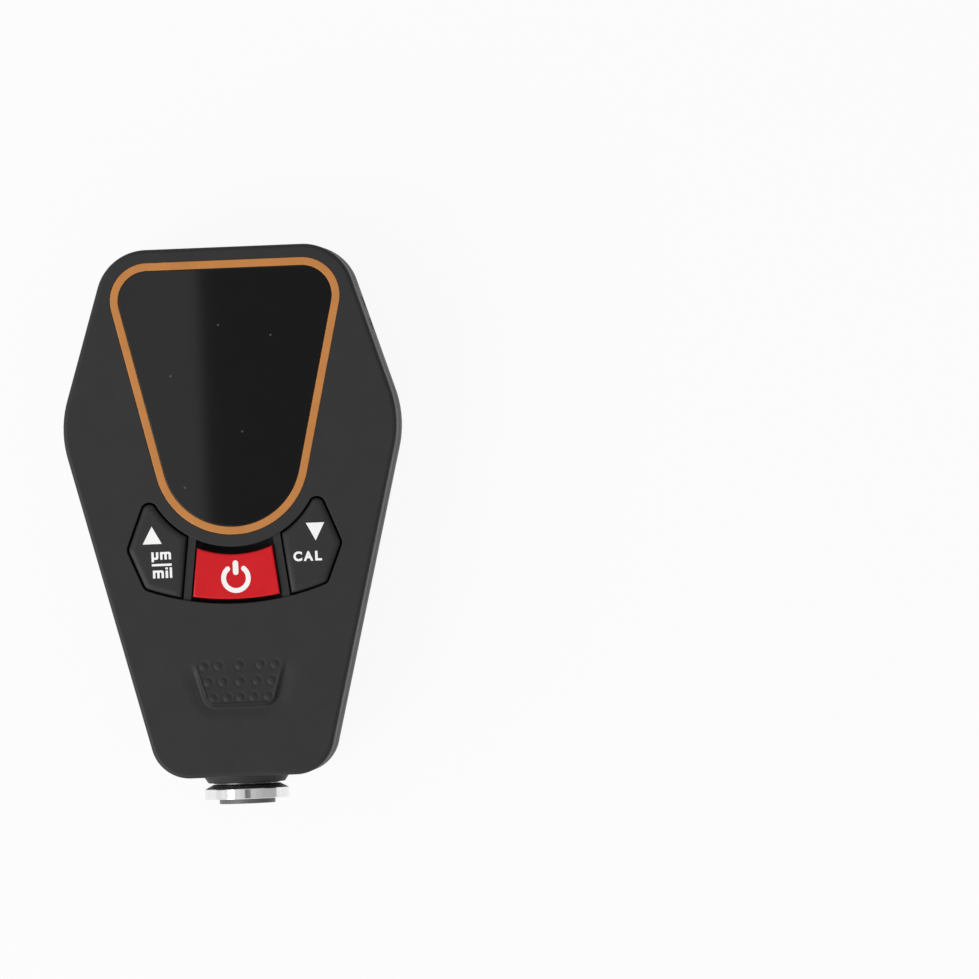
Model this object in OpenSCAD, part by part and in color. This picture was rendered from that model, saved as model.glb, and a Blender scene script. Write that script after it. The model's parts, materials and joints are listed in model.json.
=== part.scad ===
// Hand-held coating thickness gauge: a six-sided case that lies on its back, with a display, three keys,
// a thumb grip and a spring-loaded probe.
// X runs across the case, Y towards the display end and Z out of the face.

/* [Case] */
// Length of the case, without the probe
case_len = 97.9; // [96:0.1:112]
// Width of the top end, between its sharp corners
top_w = 42.8; // [41:0.2:50]
// Width at the waist, between its sharp corners
waist_w = 63.2; // [60:0.2:72]
// Width of the probe end, between its sharp corners
end_w = 30.8; // [30:0.2:40]
// Distance from the top end down to the waist
waist_drop = 32.6; // [29:0.2:38]
// Corner radius at the top end
top_r = 9.5; // [6:0.1:12]
// Corner radius at the waist
waist_r = 20; // [10:1:30]
// Corner radius at the probe end
end_r = 7.2; // [5:0.1:9]
// Thickness of the case
case_thick = 26; // [25.5:0.5:32]
// Thickness of the side walls
wall = 2; // [1.6:0.1:2.4]
// Thickness of the front wall
front_wall = 2.6; // [2.4:0.1:3.2]
// Thickness of the rear wall
rear_wall = 2.4; // [1.8:0.1:3.2]
// Radius of the rounded front edge
front_edge_r = 0.75; // [0.5:0.25:2]
// Radius of the rounded rear edge
rear_edge_r = 3.5; // [1.5:0.25:4]
// Height of the lip that locates the two covers on each other
lip_h = 1; // [0.6:0.1:1.4]

/* [Display] */
// Distance from the top end of the case to the bezel ring
bezel_drop = 2.45; // [2.4:0.05:5]
// Length of the bezel ring along the case
bezel_len = 50.7; // [49:0.1:53]
// Width of the case face beside the bezel ring's top corners
bezel_margin = 3.1; // [3:0.02:5]
// Radius of the bezel ring's top corners
bezel_top_r = 7; // [5.5:0.1:8]
// Radius of the bezel ring's round lower end
bezel_low_r = 14.3; // [13:0.1:15]
// Width of the bezel ring's face
ring_w = 1.45; // [1:0.05:1.8]
// Height of the bezel ring above the case
ring_proud = 0.1; // [0:0.05:0.3]
// Thickness of the lens
lens_thick = 1.4; // [1:0.1:1.6]
// Thickness of the gasket under the lens
gasket_thick = 0.2; // [0.1:0.05:0.3]
// Distance from the top end of the case to the window behind the lens
window_drop = 11.1; // [11:0.1:14]
// Height of the window's lower edge above the middle of the bezel's lower end
window_rise = 1.75; // [1:0.05:6]
// Width of the gasket beside the window, at the bezel's lower end
window_margin = 0.35; // [0.3:0.05:2]
// Border of the display panel beyond the window
panel_border = 2.5; // [1.5:0.1:2.6]
// Thickness of the display panel
panel_thick = 2; // [1.5:0.1:2.4]
// Thickness of the backlight
backlight_thick = 3.4; // [3.3:0.1:4]

/* [Keys] */
// Width of the case face between the bezel ring and the key bay
bay_gap = 2.25; // [2:0.05:3.4]
// Height of the key bay on the centre line
bay_h = 10.5; // [9.5:0.1:12]
// Radius of the key bay's lower edge
bay_low_r = 48; // [40:1:60]
// Distance of the bay's side points from the middle of the case
bay_half_w = 19.9; // [18.5:0.1:21]
// Height of the side points above the middle of the bay's upper edge
bay_point_rise = 0.1; // [-0.5:0.1:1]
// Height of the bay's upper ends above the middle of its upper edge
bay_horn_rise = 7.1; // [6:0.1:8]
// Radius of the bay's upper ends
bay_horn_r = 1.65; // [1.2:0.05:2]
// Radius of the bay's side points and lower corners
bay_corner_r = 2; // [1:0.1:2.4]
// Lean of the bay's lower side edges
bay_lean = 22; // [18:1:26]
// Width of the ribs between the keys
rib_w = 1.4; // [0.8:0.1:1.6]
// Distance of each rib from the middle, at the bay's upper edge
rib_x = 8; // [7:0.1:9]
// Lean of the ribs
rib_lean = 7; // [4:1:10]
// Depth of the ribs below the face
rib_drop = 0.5; // [0.1:0.1:0.6]
// Gap around each key
key_gap = 0.37; // [0.3:0.01:0.45]
// Gap above the power key
power_gap = 1.4; // [0.5:0.05:1.6]
// Gap below the power key
power_low_gap = 0.85; // [0.4:0.05:1.2]
// Height of the keys above the face
key_proud = 0.3; // [0.1:0.1:0.6]
// Travel of the keys
key_travel = 0.7; // [0.4:0.1:0.8]
// Thickness of the flange that holds each key in
flange_thick = 1; // [0.8:0.1:1.2]
// Reach of the flange under the front wall
flange_out = 1; // [0.8:0.1:1.2]
// Reach of the flange under the ribs
flange_side = 0.5; // [0.2:0.1:0.6]
// Radius of the post under each key
post_r = 2; // [1.8:0.1:2.4]
// Width of a key switch
switch_w = 6; // [5:0.2:7]
// Height of a key switch
switch_h = 2; // [1.8:0.1:2.4]
// Radius of a switch plunger
plunger_r = 1.7; // [1.2:0.1:1.8]
// Thickness of a switch's floor
switch_floor = 0.25; // [0.2:0.05:0.4]
// Length of the plunger above its switch
plunger_out = 0.9; // [0.85:0.05:1.1]

/* [Thumb grip] */
// Distance from the key bay to the grip
grip_drop = 10.5; // [8:0.1:12]
// Length of the grip along the case
grip_len = 8.4; // [7.4:0.2:10]
// Width of the grip's upper edge
grip_top_w = 17.4; // [16:0.2:20]
// Width of the grip's lower edge, between its sharp corners
grip_low_w = 11.6; // [10:0.2:14]
// Radius of the grip's lower corners
grip_r = 2; // [1:0.2:2.6]
// Rise of the grip at its lower edge
grip_rise = 0.6; // [0.3:0.1:1]
// Distance of the upper row of bumps below the grip's upper edge
bump_drop = 0.95; // [0.8:0.05:1.2]
// Distance between rows of bumps
bump_pitch = 2.95; // [2.4:0.05:3]
// Distance of the inner bumps from the middle, in the upper row
bump_in_x = 3.9; // [3:0.1:4.2]
// Distance of the outer bumps from the middle, in the upper row
bump_out_x = 6.6; // [6:0.1:7.2]
// Step of the bumps towards the middle, row by row
bump_step = 0.73; // [0.5:0.01:0.9]
// Diameter of a bump
bump_d = 1.4; // [1:0.1:1.6]
// Height of a bump
bump_h = 0.3; // [0.2:0.05:0.45]

/* [Probe] */
// Height of the probe's axis above the middle of the case
probe_rise = 3.5; // [2.5:0.1:3.5]
// Diameter of the sensor tip
tip_d = 10.35; // [9.6:0.05:10.6]
// Length of the tip beyond the nose ring, which is also its travel
tip_out = 0.9; // [0.5:0.05:1.2]
// Diameter of the nose ring's rim
rim_d = 15.7; // [15:0.1:17]
// Length of the rim
rim_len = 1.9; // [1.4:0.1:2.6]
// Length of the cone behind the rim
cone_len = 0.8; // [0.6:0.1:2]
// Diameter of the nose ring's neck
neck_d = 12.5; // [12.2:0.1:13]
// Length of the neck that shows
neck_show = 0.3; // [0.2:0.1:0.8]
// Length of the neck inside the collar
neck_in = 9.6; // [8:0.2:11]
// Diameter of the collar at the case
collar_d = 15.8; // [15.6:0.1:18]
// Diameter of the collar's front face
collar_face_d = 14.2; // [13.6:0.1:15]
// Length of the collar outside the case
collar_out = 1.2; // [0.8:0.05:2]
// Diameter of the collar in the end wall
groove_d = 15.3; // [14.8:0.1:15.6]
// Diameter of the collar's inner flange
collar_flange_d = 16.8; // [16.4:0.1:17.2]
// Thickness of the collar's inner flange
collar_flange_thick = 1.5; // [1:0.1:2]
// Diameter of the collar's tube
tube_d = 14.8; // [14.4:0.1:15]
// Length of the collar's tube behind its flange
tube_len = 13; // [12.6:0.2:15]
// Diameter of the stop behind the nose ring
stop_d = 12; // [11.6:0.05:12]
// Thickness of the stop
stop_thick = 1.5; // [1:0.1:2]
// Inner diameter of the sensor case
cup_d = 8.4; // [7.8:0.1:8.8]
// Thickness of the sensor case's face
cup_face = 1.2; // [0.8:0.1:1.6]
// Diameter of the sensor core
core_d = 2.4; // [1.6:0.1:3]
// Length of the sensor core
core_len = 12.6; // [11.6:0.2:14]
// Thickness of the bobbin's tube and flanges
bobbin_wall = 0.8; // [0.5:0.1:1]
// Length of the bobbin
bobbin_len = 8.8; // [7:0.2:10]
// Depth of the coil on its bobbin
coil_depth = 1.7; // [1:0.1:1.8]
// Diameter of the sensor spring's wire
spring_wire = 0.6; // [0.4:0.05:0.7]
// Turns of the sensor spring
spring_turns = 4; // [3:0.5:4]
// Depth of the spring cap inside the collar
cap_in = 1.5; // [1:0.1:2]
// Thickness of the spring cap's flange
cap_flange = 1.5; // [1:0.1:2]

/* [Inside] */
// Thickness of the main board
board_thick = 1.6; // [1.2:0.1:2]
// Gap between the board and the side walls
board_gap = 0.5; // [0.3:0.1:1]
// Distance from the probe's tube to the board, along the sensor lead
lead_run = 8; // [7:0.2:10]
// Width of the battery
battery_w = 30; // [26:0.5:31]
// Length of the battery
battery_len = 38; // [30:0.5:40]
// Thickness of the battery
battery_thick = 6; // [4:0.5:7]
// Distance from the top end of the case to the battery
battery_drop = 8; // [7:0.5:10]
// Thickness of the foam pad under the battery
pad_thick = 0.8; // [0.5:0.1:1.2]
// Diameter of the inner leads
lead_d = 1.8; // [1.4:0.1:2]
// Width of the lead plugs
plug_w = 6; // [5:0.2:7]
// Length of the lead plugs
plug_len = 4.4; // [4:0.2:5]
// Height of the lead plugs
plug_h = 4; // [3:0.2:4.4]
// Width of the controller chip
chip_w = 10; // [8:0.5:12]
// Thickness of the controller chip
chip_thick = 1.4; // [1:0.1:1.8]
// Width of the charging socket
socket_w = 8.94; // [8.94:0.02:9.2]
// Height of the charging socket
socket_h = 3.2; // [3.16:0.02:3.26]
// Length of the charging socket
socket_len = 7.3; // [6.8:0.1:7.5]
// Depth of the socket's mouth below the top end
socket_recess = 0.6; // [0.3:0.1:1]
// Thickness of the socket's shell
socket_wall = 0.3; // [0.25:0.05:0.35]
// Width of the tongue in the socket
tongue_w = 6.69; // [6.4:0.01:6.8]
// Thickness of the tongue
tongue_thick = 0.7; // [0.6:0.05:0.8]
// Length of the tongue
tongue_len = 4.45; // [4:0.05:5]

/* [Screws and strap] */
// Radius of the screw bosses
boss_r = 3.4; // [3.2:0.1:3.8]
// Gap between the upper bosses and the side walls
boss_gap = 3; // [2:0.2:4]
// Distance of the upper bosses below the top end
boss_high_drop = 25; // [24:0.5:28]
// Distance of the lower bosses above the probe end
boss_low_rise = 15.5; // [14:0.5:16.5]
// Diameter of the screws
screw_d = 2.4; // [2:0.1:2.6]
// Diameter of the screw heads
head_d = 4.6; // [4:0.1:5]
// Height of the screw heads
head_h = 1.8; // [1.4:0.1:2.2]
// Width of the cross slot in the screw heads
slot_w = 0.7; // [0.5:0.1:0.9]
// Depth of the rear post between the screw head and the board
seat_depth = 5; // [3:0.5:7]
// Length of screw in the front boss
screw_grip = 4; // [3:0.2:4.6]
// Distance of the strap eye below the top end
strap_drop = 13; // [11:0.5:15]
// Height of the strap eye above the rear face
strap_z = 9; // [7:0.5:11]
// Width of each slot of the strap eye
strap_slot_w = 2; // [1.6:0.1:2.4]
// Height of each slot of the strap eye
strap_slot_h = 3.6; // [2.6:0.2:4.4]
// Width of the bar between the slots
strap_bar = 2.4; // [2:0.1:3]

/* [Hidden] */
$fn = 64;
// Clearance of pieces that are fixed to each other
fit = 0.05;
// Clearance of the sensor in the nose ring
slide_gap = 0.08;
// Room between a screw's shank, or its head, and the hole it passes through
screw_room = 0.3;
// Cuts run past the faces that they open by this much
past = 1;
// Added solids reach this far into the wall that carries them
root = 0.4;
// Fineness of the case's corners and of its rounded edges
case_fn = 96;
edge_fn = 24;
// Radius of the corners that are drawn sharp
sharp_r = 0.2;
// Round corners reach this far past the round edges that they run into
bite = 0.05;

// Places along the case
probe_out = tip_out + rim_len + cone_len + neck_show + collar_out;
top_y = (case_len + probe_out) / 2;
tip_y = -top_y;
end_y = tip_y + probe_out;
waist_y = top_y - waist_drop;
bezel_low_y = top_y - bezel_drop - bezel_len + bezel_low_r;
bay_in_r = bezel_low_r + bay_gap;
bay_top_y = bezel_low_y - bay_in_r;
bay_low_y = bay_top_y - bay_h;
grip_top_y = bay_low_y - grip_drop;
grip_low_y = grip_top_y - grip_len;
window_top_y = top_y - window_drop;
window_low_y = bezel_low_y + window_rise;
boss_high_y = top_y - boss_high_drop;
boss_low_y = end_y + boss_low_rise;
battery_low_y = top_y - battery_drop - battery_len;

// Heights above the rear face
face_z = case_thick;
probe_z = case_thick / 2 + probe_rise;
part_z = probe_z;
ceiling_z = face_z - front_wall;
pocket_z = face_z - lens_thick - gasket_thick;
panel_z = ceiling_z - panel_thick;
board_top_z = panel_z - backlight_thick;
board_z = board_top_z - board_thick;
flange_z = ceiling_z - fit - flange_thick;
plunger_top_z = board_top_z + switch_h + plunger_out;
battery_z = rear_wall + pad_thick;
seat_z = board_z - seat_depth;
screw_len = seat_depth + board_thick + screw_grip;
socket_z = board_top_z + socket_h / 2;

// Places along the probe, measured inwards from the face of the tip
rim_s = tip_out + rim_len;
cone_s = rim_s + cone_len;
collar_s = cone_s + neck_show;
wall_s = probe_out + wall;
neck_s = collar_s + neck_in;
flange_s = wall_s + collar_flange_thick;
tube_s = flange_s + tube_len;
board_low_y = tip_y + tube_s + lead_run;
stop_s = neck_s + fit;
stop_end_s = stop_s + stop_thick;
cap_s = tube_s - cap_in;
cap_end_s = tube_s + cap_flange;
bobbin_end_s = cup_face + bobbin_len;
cradle_s = flange_s + wall;
tube_bore_r = neck_d / 2 + fit;
bobbin_r = core_d / 2 + bobbin_wall;
lead_hole_r = lead_d / 2 + 2 * fit;

// Half the width of the case at a height y on its straight sides
waist_slope = (waist_w - end_w) / 2 / (waist_y - end_y);
top_slope = (waist_w - top_w) / 2 / waist_drop;
function half_width(y) =
    waist_w / 2 - (y > waist_y ? (y - waist_y) * top_slope : (waist_y - y) * waist_slope);

// The bosses stand beside the side walls, each [x, y, height at which its front half starts]
boss_high_x = half_width(boss_high_y) - wall - boss_r - boss_gap;
boss_low_x = half_width(boss_low_y) - wall - boss_r - fit;
bosses = [for (side = [-1, 1]) each
    [[side * boss_high_x, boss_high_y, board_top_z], [side * boss_low_x, boss_low_y, board_z]]];

// The switches stand under the middle of their keys
side_switch_x = (rib_x + bay_half_w) / 2;
side_switch_y = bay_top_y + bay_point_rise - bay_corner_r;
switch_places = [
    [-side_switch_x, side_switch_y],
    [0, (bay_top_y + bay_low_y) / 2],
    [side_switch_x, side_switch_y]
];

// Colours
case_black = [0.21, 0.21, 0.22];
key_black = [0.17, 0.17, 0.18];
lens_black = [0.08, 0.08, 0.09];
orange = [0.76, 0.51, 0.28];
red = [0.81, 0.15, 0.19];
steel = [0.8, 0.8, 0.82];
tip_grey = [0.36, 0.36, 0.37];
white = [0.93, 0.93, 0.91];
copper = [0.75, 0.45, 0.25];
board_green = [0.1, 0.33, 0.2];
foam_grey = [0.3, 0.3, 0.31];
foil = [0.72, 0.73, 0.75];
ferrite = [0.25, 0.25, 0.26];

// Outlines that wrap a ring of discs, each [x, y, radius], in counter-clockwise order
function unit(v) = v / norm(v);
function right_of(v) = [v.y, -v.x];
function flat(disc) = [disc.x, disc.y];
function edge_normal(a, b) =
    let (d = flat(b) - flat(a), along = (a.z - b.z) / norm(d))
    unit(d) * along + right_of(unit(d)) * sqrt(1 - along * along);

// The point where a disc, grown a little, touches a line or circle that lies in a direction from its middle
function touch(disc, towards, grow) = flat(disc) + (disc.z + grow) * unit(towards);
function edge_ends(a, b, grow) = let (out = edge_normal(a, b)) [touch(a, out, grow), touch(b, out, grow)];

module corner_circles(discs, grow) {
    for (d = discs) translate(flat(d)) circle(d.z + grow);
}

module disc_outline(discs, grow = 0) {
    n = len(discs);
    polygon([for (i = [0 : n - 1]) each edge_ends(discs[i], discs[(i + 1) % n], grow)]);
    corner_circles(discs, grow);
}

// The disc of radius r that rounds the corner at here
function corner_disc(before, here, after, r) =
    let (a = unit(before - here), b = unit(after - here), half = acos(a * b) / 2)
    concat(here + unit(a + b) * r / sin(half), r);

function rounded(corners, radii) =
    let (n = len(corners))
    [for (i = [0 : n - 1])
        corner_disc(corners[(i + n - 1) % n], corners[i], corners[(i + 1) % n], radii[i])];

// Points or discs given up the right side, followed by their mirror images down the left side
function mirrored(p) = [for (k = [0 : len(p) - 1]) k == 0 ? -p[0] : p[k]];
function both_sides(right) = concat(right, [for (i = [len(right) - 1 : -1 : 0]) mirrored(right[i])]);

case_discs = rounded(both_sides([[end_w / 2, end_y], [waist_w / 2, waist_y], [top_w / 2, top_y]]),
    [end_r, waist_r, top_r, top_r, waist_r, end_r]);

bezel_top_y = top_y - bezel_drop - bezel_top_r;
bezel_spread = half_width(bezel_top_y) - bezel_margin - bezel_top_r;
bezel_discs = [
    [0, bezel_low_y, bezel_low_r],
    [bezel_spread, bezel_top_y, bezel_top_r],
    [-bezel_spread, bezel_top_y, bezel_top_r]
];

// Corners of the key bay on its right side: the horn and the heel touch its round upper and lower edges
bay_in_middle = [0, bezel_low_y];
bay_low_middle = [0, bay_low_y + bay_low_r];
bay_horn_x = sqrt(pow(bay_in_r + bay_horn_r - bite, 2) - pow(bay_in_r - bay_horn_rise, 2));
bay_horn = [bay_horn_x, bay_top_y + bay_horn_rise, bay_horn_r];
bay_point = [bay_half_w - bay_corner_r, bay_top_y + bay_point_rise, bay_corner_r];
bay_lean_run = [sin(bay_lean), cos(bay_lean)];
bay_point_arm = flat(bay_point) - bay_low_middle;
bay_heel_r = bay_low_r - bay_corner_r + bite;
bay_heel_run = bay_point_arm * bay_lean_run
    + sqrt(pow(bay_point_arm * bay_lean_run, 2) - bay_point_arm * bay_point_arm + bay_heel_r * bay_heel_r);
bay_heel = concat(flat(bay_point) - bay_heel_run * bay_lean_run, bay_corner_r);

grip_discs = rounded(both_sides([[grip_low_w / 2, grip_low_y], [grip_top_w / 2, grip_top_y]]),
    [grip_r, sharp_r, sharp_r, grip_r]);

// The crescent that holds the keys
module bay_outline(grow = 0) {
    right = concat(
        [touch(bay_heel, flat(bay_heel) - bay_low_middle, grow)],
        edge_ends(bay_heel, bay_point, grow), edge_ends(bay_point, bay_horn, grow),
        [touch(bay_horn, bay_in_middle - flat(bay_horn), grow)]);
    difference() {
        intersection() {
            union() {
                polygon(concat([[0, bay_low_y - bay_h]], both_sides(right)));
                corner_circles(both_sides([bay_heel, bay_point, bay_horn]), grow);
            }
            translate(bay_low_middle) circle(bay_low_r + grow);
        }
        translate(bay_in_middle) circle(bay_in_r - grow);
    }
}

// A point on a rib's middle line, at a distance below the bay's upper edge
function rib_point(side, below) =
    [side * (rib_x + below * sin(rib_lean)), bay_top_y - below * cos(rib_lean)];

module rib_outline(w) {
    for (side = [-1, 1])
        translate(rib_point(side, 0)) rotate(side * rib_lean) square([w, 4 * bay_h], center = true);
}

// The part of the bay between the ribs, for side 0, or beyond one of them
module key_zone(side) {
    reach = 2 * bay_h;
    inner = side == 0 ? -1 : side;
    outer = side == 0 ? [rib_point(1, reach), rib_point(1, -reach)]
        : [[side * waist_w, bay_top_y - reach], [side * waist_w, bay_top_y + reach]];
    polygon(concat([rib_point(inner, -reach), rib_point(inner, reach)], outer));
}

module key_outline(side, grow = 0, side_grow = 0) {
    difference() {
        intersection() {
            bay_outline(grow - key_gap);
            key_zone(side);
        }
        rib_outline(rib_w + 2 * (key_gap - side_grow));
    }
}

// The part of a key that shows: the power key leaves wider gaps above and below it
module cap_outline(side) {
    difference() {
        key_outline(side);
        if (side == 0) {
            translate(bay_in_middle) circle(bay_in_r + power_gap);
            difference() {
                translate([-bay_half_w, bay_low_y - bay_h]) square(2 * [bay_half_w, bay_h]);
                translate(bay_low_middle) circle(bay_low_r - power_low_gap);
            }
        }
    }
}

// A flat piece between two heights
module slab(low, high) {
    translate([0, 0, low]) linear_extrude(high - low) children();
}

// A round block whose upper edge is rounded
module puck(r, low, high, edge_r) {
    rotate_extrude() translate([0, low]) {
        square([r, high - low - edge_r]);
        square([r - edge_r, high - low]);
        translate([r - edge_r, high - low - edge_r]) intersection() {
            circle(edge_r, $fn = edge_fn);
            square(edge_r);
        }
    }
}

// A block on the case's outline whose upper edge is rounded
module soft_block(low, high, edge_r) {
    hull() for (d = case_discs) translate(flat(d)) puck(d.z, low, high, edge_r, $fn = case_fn);
}

// Places children along the probe, with their Z running inwards from the face of the tip
module along_probe() {
    translate([0, tip_y, probe_z]) rotate([-90, 0, 0]) children();
}

// A turned piece from its half section, each point [radius, place along the probe]
module turned(section) {
    along_probe() rotate_extrude() polygon(section);
}

// A plain cylinder along the probe
module probe_hole(r, from, to) {
    along_probe() translate([0, 0, from]) cylinder(r = r, h = to - from);
}

// A plate that carries the collar's tube
module cradle(low, high) {
    translate([-tube_d / 2 - wall, tip_y + cradle_s, low]) cube([tube_d + 2 * wall, wall, high - low]);
}

// The upright outline of the charging socket, round at both ends
module socket_outline(grow = 0) {
    r = socket_h / 2;
    half = socket_w / 2 - r;
    square([2 * half, 2 * (r + grow)], center = true);
    for (side = [-1, 1]) translate([side * half, 0]) circle(r + grow);
}

// Places children in the socket's opening, with their Z running inwards from its mouth
module at_socket(depth = 0) {
    translate([0, top_y - socket_recess - depth, socket_z]) rotate([90, 0, 0]) children();
}

// A tube of eight sides along a path, with the direction of the path and one across it at each point
module swept_tube(path, ahead, across, r) {
    sides = 8;
    n = len(path);
    points = [for (i = [0 : n - 1], k = [0 : sides - 1]) let (turn = 360 * k / sides)
        path[i] + r * (cos(turn) * across[i] + sin(turn) * cross(ahead[i], across[i]))];
    walls = [for (i = [0 : n - 2], k = [0 : sides - 1])
        let (a = i * sides + k, b = i * sides + (k + 1) % sides) [a, b, b + sides, a + sides]];
    ends = [[for (k = [sides - 1 : -1 : 0]) k], [for (k = [0 : sides - 1]) (n - 1) * sides + k]];
    polyhedron(points, concat(walls, ends));
}

// A lead that leaves and arrives along Y, with a straight stub at each end
module lead(from, to) {
    steps = 14;
    run = to - from;
    stub = (cap_flange + lead_d / 2) / abs(run.y);
    shares = concat([0], [for (i = [0 : steps]) stub + (1 - 2 * stub) * i / steps], [1]);
    eases = [for (share = shares) max(0, min(1, (share - stub) / (1 - 2 * stub)))];
    path = [for (k = [0 : len(shares) - 1]) let (t = eases[k])
        [from.x, from.y + shares[k] * run.y, from.z + t * t * (3 - 2 * t) * run.z]];
    ahead = [for (t = eases) unit([0, run.y * (1 - 2 * stub), 6 * t * (1 - t) * run.z])];
    swept_tube(path, ahead, [for (p = path) [1, 0, 0]], lead_d / 2);
}

// Raised thumb grip: a ramp that climbs towards the probe, with rows of bumps
module thumb_grip() {
    ramp = atan(grip_rise / grip_len);
    intersection() {
        slab(ceiling_z, face_z + 2 * grip_rise) disc_outline(grip_discs);
        translate([0, grip_top_y, face_z]) rotate([-ramp, 0, 0])
            translate([-top_w / 2, -2 * grip_len, -front_wall]) cube([top_w, 3 * grip_len, front_wall]);
    }
    bump_r = (bump_d * bump_d / 4 + bump_h * bump_h) / (2 * bump_h);
    for (row = [0 : 2], x = [-bump_out_x, -bump_in_x, 0, bump_in_x, bump_out_x]) {
        below = bump_drop + row * bump_pitch;
        top_z = face_z + below * grip_rise / grip_len + bump_h;
        translate([x - sign(x) * row * bump_step, grip_top_y - below, top_z - bump_r]) sphere(bump_r);
    }
}

// The window behind the lens, widened by a border on all sides
module window_outline(border = 0) {
    half_w = bezel_low_r - ring_w - window_margin + border;
    translate([-half_w, window_low_y - border])
        square([2 * half_w, window_top_y - window_low_y + 2 * border]);
}

module front_cover() {
    color(case_black)
    difference() {
        union() {
            difference() {
                soft_block(part_z, face_z, front_edge_r);
                slab(part_z - past, ceiling_z) disc_outline(case_discs, -wall);
                slab(part_z - past, part_z + lip_h + fit) disc_outline(case_discs, fit - wall / 2);
            }
            for (b = bosses) translate(b) cylinder(r = boss_r, h = ceiling_z + root - b.z);
            cradle(part_z, ceiling_z + root);
            thumb_grip();
        }
        slab(pocket_z, face_z + past) disc_outline(bezel_discs, fit);
        slab(ceiling_z - past, pocket_z + past) window_outline();
        difference() {
            slab(ceiling_z - past, face_z + past) bay_outline();
            slab(ceiling_z - 2 * past, face_z - rib_drop) rib_outline(rib_w);
        }
        for (b = bosses)
            translate([b.x, b.y, seat_z]) cylinder(d = screw_d + 2 * fit, h = screw_len + fit);
        at_socket(-socket_recess - past) linear_extrude(socket_len + past) socket_outline(fit);
        probe_hole(groove_d / 2 + fit, probe_out - past, wall_s + past);
        probe_hole(collar_flange_d / 2 + fit, wall_s, flange_s + fit);
        probe_hole(tube_d / 2 + fit, flange_s, cap_end_s + past);
    }
}

module rear_cover() {
    slot_x = half_width(top_y - strap_drop);
    color(case_black)
    difference() {
        union() {
            difference() {
                translate([0, 0, part_z]) mirror([0, 0, 1]) soft_block(0, part_z, rear_edge_r);
                slab(rear_wall, part_z + past) disc_outline(case_discs, -wall);
            }
            difference() {
                slab(part_z - lip_h, part_z + lip_h) disc_outline(case_discs, -wall / 2);
                slab(part_z - lip_h - past, part_z + lip_h + past) disc_outline(case_discs, -wall);
            }
            for (b = bosses) translate([b.x, b.y, rear_wall - root])
                cylinder(r = boss_r, h = board_z - rear_wall + root);
            cradle(rear_wall - root, part_z);
        }
        for (b = bosses) {
            translate([b.x, b.y, -past]) cylinder(d = head_d + 2 * screw_room, h = seat_z + past);
            translate([b.x, b.y, -past]) cylinder(d = screw_d + screw_room, h = board_z + 2 * past);
        }
        for (side = [-1, 1])
            translate([slot_x, top_y - strap_drop, strap_z]) rotate(atan(top_slope))
                translate([-wall / 2, side * (strap_bar + strap_slot_w) / 2, 0])
                    cube([3 * wall, strap_slot_w, strap_slot_h], center = true);
        probe_hole(groove_d / 2 + fit, probe_out - past, wall_s + past);
        probe_hole(collar_flange_d / 2 + fit, wall_s, flange_s + fit);
        probe_hole(tube_d / 2 + fit, flange_s, cap_end_s + past);
    }
}

module bezel_ring() {
    color(orange) difference() {
        slab(pocket_z, face_z + ring_proud) disc_outline(bezel_discs);
        slab(pocket_z - past, face_z + ring_proud + past) disc_outline(bezel_discs, -ring_w);
    }
}

module display_lens() {
    color(lens_black) slab(pocket_z + gasket_thick, face_z) disc_outline(bezel_discs, -ring_w - fit);
}

module lens_gasket() {
    color(foam_grey) difference() {
        slab(pocket_z, pocket_z + gasket_thick) disc_outline(bezel_discs, -ring_w - fit);
        slab(pocket_z - past, face_z) window_outline();
    }
}

module lcd_panel() {
    color(foil) slab(panel_z, ceiling_z) window_outline(panel_border);
}

module backlight() {
    color(white) slab(board_top_z, panel_z) window_outline(panel_border);
}

module main_board() {
    color(board_green) difference() {
        slab(board_z, board_top_z) intersection() {
            disc_outline(case_discs, -wall - board_gap);
            translate([-waist_w / 2, board_low_y]) square([waist_w, top_y - board_low_y]);
        }
        for (b = bosses) translate([b.x, b.y, board_z - past])
            cylinder(d = screw_d + screw_room, h = board_thick + 2 * past);
    }
}

module controller_chip() {
    color(key_black) slab(board_z - chip_thick, board_z)
        translate([side_switch_x, board_low_y + chip_w]) square(chip_w, center = true);
}

module key(side) {
    place = switch_places[side + 1];
    slab(flange_z, face_z + key_proud) cap_outline(side);
    slab(flange_z, flange_z + flange_thick) key_outline(side, flange_out, flange_side);
    translate([place.x, place.y, plunger_top_z]) cylinder(r = post_r, h = flange_z + root - plunger_top_z);
}

module unit_key() {
    color(key_black) key(-1);
}

module power_key() {
    color(red) key(0);
}

module calibrate_key() {
    color(key_black) key(1);
}

// A push switch, hollow where its plunger goes down
module key_switch(side) {
    place = switch_places[side + 1];
    color(key_black) translate([place.x, place.y, board_top_z]) difference() {
        translate([-switch_w / 2, -switch_w / 2, 0]) cube([switch_w, switch_w, switch_h]);
        translate([0, 0, switch_floor]) cylinder(r = plunger_r + slide_gap, h = switch_h);
    }
}

module switch_plunger(side) {
    place = switch_places[side + 1];
    low = board_top_z + switch_floor + key_travel + fit;
    color(white) translate([place.x, place.y, low]) cylinder(r = plunger_r, h = plunger_top_z - low);
}

module unit_switch() {
    key_switch(-1);
}

module power_switch() {
    key_switch(0);
}

module calibrate_switch() {
    key_switch(1);
}

module unit_plunger() {
    switch_plunger(-1);
}

module power_plunger() {
    switch_plunger(0);
}

module calibrate_plunger() {
    switch_plunger(1);
}

module battery_outline() {
    translate([-battery_w / 2, battery_low_y]) square([battery_w, battery_len]);
}

module battery() {
    color(foil) slab(battery_z, battery_z + battery_thick) battery_outline();
}

module battery_pad() {
    color(foam_grey) slab(rear_wall, battery_z) battery_outline();
}

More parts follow.
